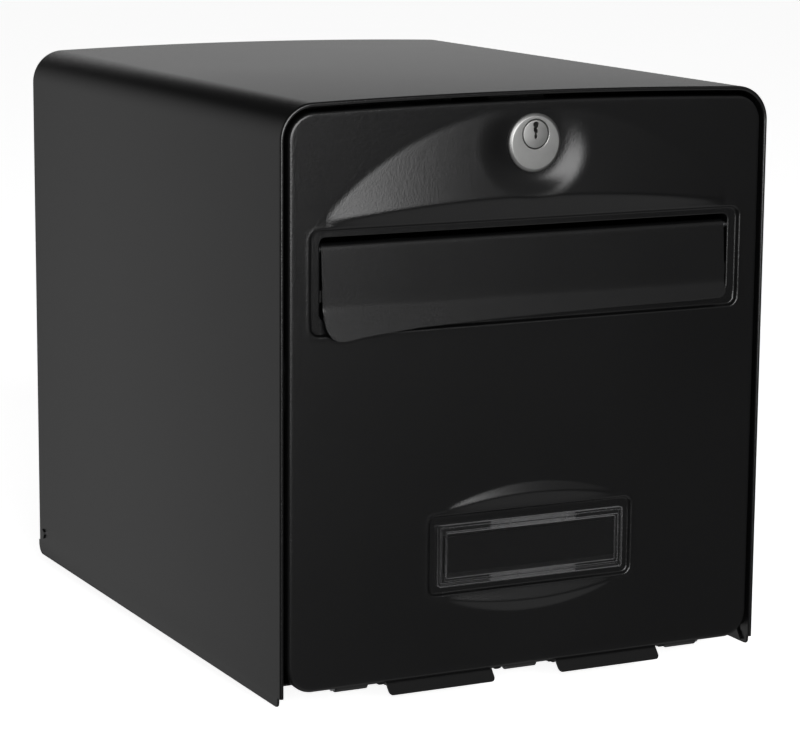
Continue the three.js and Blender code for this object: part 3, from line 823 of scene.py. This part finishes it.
# ---------- name holder ----------
def make_name_cover():
    """Clear cover: a beaded edge, a channel and a raised window, held by a tab above and below."""
    cx, cz = NAME["x"], NAME["z"]

    def ring(inset, y):
        return build.loop((x, y, z) for x, z in rounded(
            cx - COVER["half"] + inset, cx + COVER["half"] - inset,
            cz - COVER["below"] + inset, cz + COVER["above"] - inset,
            max(1.4 - inset, 0.5), 4))

    build = Builder()
    front = [(1.6, 1.25), (0, 1.25), (0, -1.1), (0.12, -1.38), (0.4, -1.5), (1.0, -1.5),
             (1.28, -1.38), (1.4, -1.1), (1.45, -0.8), (3.1, -0.8), (3.2, -1.0), (3.25, -2.2),
             (3.37, -2.48), (3.65, -2.6)]
    rings = [ring(inset, y) for inset, y in front]
    for a, b in zip(rings, rings[1:]):
        build.bridge(b, a)
    build.cap(rings[-1])
    back = [ring(inset, y) for inset, y in ((1.6, 1.25), (1.6, 0.4), (4.3, 0.4), (4.35, -1.5))]
    for a, b in zip(back, back[1:]):
        build.bridge(a, b)
    build.cap(back[-1], flip=True)
    for side in (-1, 1):
        for offset, low, high in ((12.7, -2.2, 1.0), (14.9, -2.0, 1.0)):
            z = cz - 0.3 + side * offset
            prism(build, rounded(cx - 24, cx + 26, z - 0.5, z + 0.5, 0.35, 3), "y", low, high)
    add_object("name_window", build.points, build.faces, "door", CLEAR,
               ["name_cover"], 24)


# ---------- CAD pieces kept as they are ----------
def dress_cad():
    """Materials and small roundings on the CAD pieces that are shown directly."""
    dress = {
        "floor_panel": (COAT, 0.3), "latch_strike": (COAT, 0.3),
        "door_stop_left": (COAT, 0.25), "door_stop_right": (COAT, 0.25),
        "side_rivet_left": (COAT, 0.25), "side_rivet_right": (COAT, 0.25),
        "flap_lug_left": (COAT, 0.2), "flap_lug_right": (COAT, 0.2),
        "stop_buffer_left": (RUBBER, 0.3), "stop_buffer_right": (RUBBER, 0.3),
        "hinge_rod": (ZINC, 0.2), "flap_rod": (ZINC, 0.2), "rod_clip_left": (ZINC, 0.15),
        "rod_clip_right": (ZINC, 0.15), "lock_nut": (ZINC, 0.3), "lock_cam": (ZINC, 0.25),
        "cam_screw": (ZINC, 0.25), "name_card": (CARD, 0.1),
    }
    for name, (material, rounding) in dress.items():
        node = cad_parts[name]
        node.data.materials.clear()
        node.data.materials.append(material)
        shade(node, 40)
        bevel(node, rounding)


# ---------- studio ----------
def make_floor():
    """Pale matt floor, left out of reflections and shadows."""
    mesh = bpy.data.meshes.new("floor")
    size = 12
    z = -FLOOR_DROP * MM
    mesh.from_pydata([(-size, -size, z), (size, -size, z), (size, size, z), (-size, size, z)],
                     [], [(0, 1, 2, 3)])
    floor = bpy.data.objects.new("floor", mesh)
    bpy.context.scene.collection.objects.link(floor)
    material = bpy.data.materials.new("pale_floor")
    material.use_nodes = True
    shader = material.node_tree.nodes["Principled BSDF"]
    shader.inputs["Base Color"].default_value = (0.8, 0.8, 0.8, 1)
    shader.inputs["Roughness"].default_value = 1
    shader.inputs["Specular IOR Level"].default_value = 0
    shader.inputs["Emission Color"].default_value = (1, 1, 1, 1)
    shader.inputs["Emission Strength"].default_value = 0.88
    mesh.materials.append(material)
    floor.visible_glossy = False
    floor.visible_shadow = False


def direction(azimuth, elevation):
    """Unit vector; azimuth 0 is in front of the door, and positive is towards its right."""
    a, e = math.radians(azimuth), math.radians(elevation)
    return math.sin(a) * math.cos(e), -math.cos(a) * math.cos(e), math.sin(e)


def make_world():
    """White to the camera; to everything else a dim room with soft bright patches."""
    world = bpy.data.worlds.new("studio")
    world.use_nodes = True
    bpy.context.scene.world = world
    nodes = Nodes(world.node_tree)
    world.node_tree.nodes.clear()
    look = nodes.add("ShaderNodeTexCoord").outputs["Generated"]
    total = None
    # azimuth, elevation, half-width inside, half-width outside, brightness; the last is the
    # dim room itself, all round
    patches = ((153, 4, 8, 30, 0.5), (-135, -10, 8, 48, 0.45), (30, -62, 16, 48, 0.42),
               (40, 40, 12, 46, 0.24), (0, 0, 179, 180, 0.036))
    for azimuth, elevation, inside, outside, brightness in patches:
        dot = nodes.add("ShaderNodeVectorMath", operation="DOT_PRODUCT")
        nodes.link(look, dot.inputs[0])
        dot.inputs[1].default_value = direction(azimuth, elevation)
        patch = nodes.add("ShaderNodeMapRange", interpolation_type="SMOOTHSTEP")
        patch.inputs["From Min"].default_value = math.cos(math.radians(outside))
        patch.inputs["From Max"].default_value = math.cos(math.radians(inside))
        patch.inputs["To Max"].default_value = brightness
        nodes.link(dot.outputs["Value"], patch.inputs["Value"])
        if total is None:
            total = patch.outputs["Result"]
        else:
            add = nodes.add("ShaderNodeMath", operation="ADD")
            nodes.link(total, add.inputs[0])
            nodes.link(patch.outputs["Result"], add.inputs[1])
            total = add.outputs["Value"]
    room = nodes.add("ShaderNodeBackground")
    nodes.link(total, room.inputs["Strength"])
    white = nodes.add("ShaderNodeBackground")
    white.inputs["Strength"].default_value = 1
    pick = nodes.add("ShaderNodeMixShader")
    nodes.link(nodes.add("ShaderNodeLightPath").outputs["Is Camera Ray"], pick.inputs["Fac"])
    nodes.link(room.outputs["Background"], pick.inputs[1])
    nodes.link(white.outputs["Background"], pick.inputs[2])
    out = nodes.add("ShaderNodeOutputWorld")
    nodes.link(pick.outputs["Shader"], out.inputs["Surface"])


def softbox(name, centre, aim, width, height, radiance):
    """Rectangular lamp, in metres, of the same radiance whatever its size."""
    lamp = bpy.data.lights.new(name, "AREA")
    lamp.shape = "RECTANGLE"
    lamp.size = width
    lamp.size_y = height
    lamp.energy = radiance * math.pi * width * height
    box = bpy.data.objects.new(name, lamp)
    bpy.context.scene.collection.objects.link(box)
    box.location = centre
    box.rotation_euler = (Vector(aim) - Vector(centre)).to_track_quat("-Z", "Y").to_euler()


def make_camera():
    """The photograph's viewpoint: in front, to the left and a little above."""
    azimuth, elevation, roll = 0.46357, 0.18517, 0.0078
    look = Vector((math.sin(azimuth) * math.cos(elevation),
                   math.cos(azimuth) * math.cos(elevation), -math.sin(elevation)))
    side = Vector((math.cos(azimuth), -math.sin(azimuth), 0))
    up = side.cross(look)
    right = math.cos(roll) * side + math.sin(roll) * up
    above = math.cos(roll) * up - math.sin(roll) * side
    data = bpy.data.cameras.new("camera")
    data.sensor_width = 36
    data.lens = 132.09
    data.clip_end = 60
    camera = bpy.data.objects.new("camera", data)
    bpy.context.scene.collection.objects.link(camera)
    camera.matrix_world = Matrix.Translation((-0.719038, -1.465509, 0.43675)) @ Matrix(
        (right, above, -look)).transposed().to_4x4()
    bpy.context.scene.camera = camera


make_casing()
make_back_panel()
make_door()
make_door_fittings()
make_flap()
make_lock_barrel()
make_lock_plug()
make_name_cover()
dress_cad()
make_floor()
make_world()
softbox("key", (-0.49, -2.6, 0.87), (0, 0, 0.17), 2.5, 1.95, 6.0)
make_camera()
bpy.context.scene.view_settings.view_transform = "Standard"

bpy.context.view_layer.update()
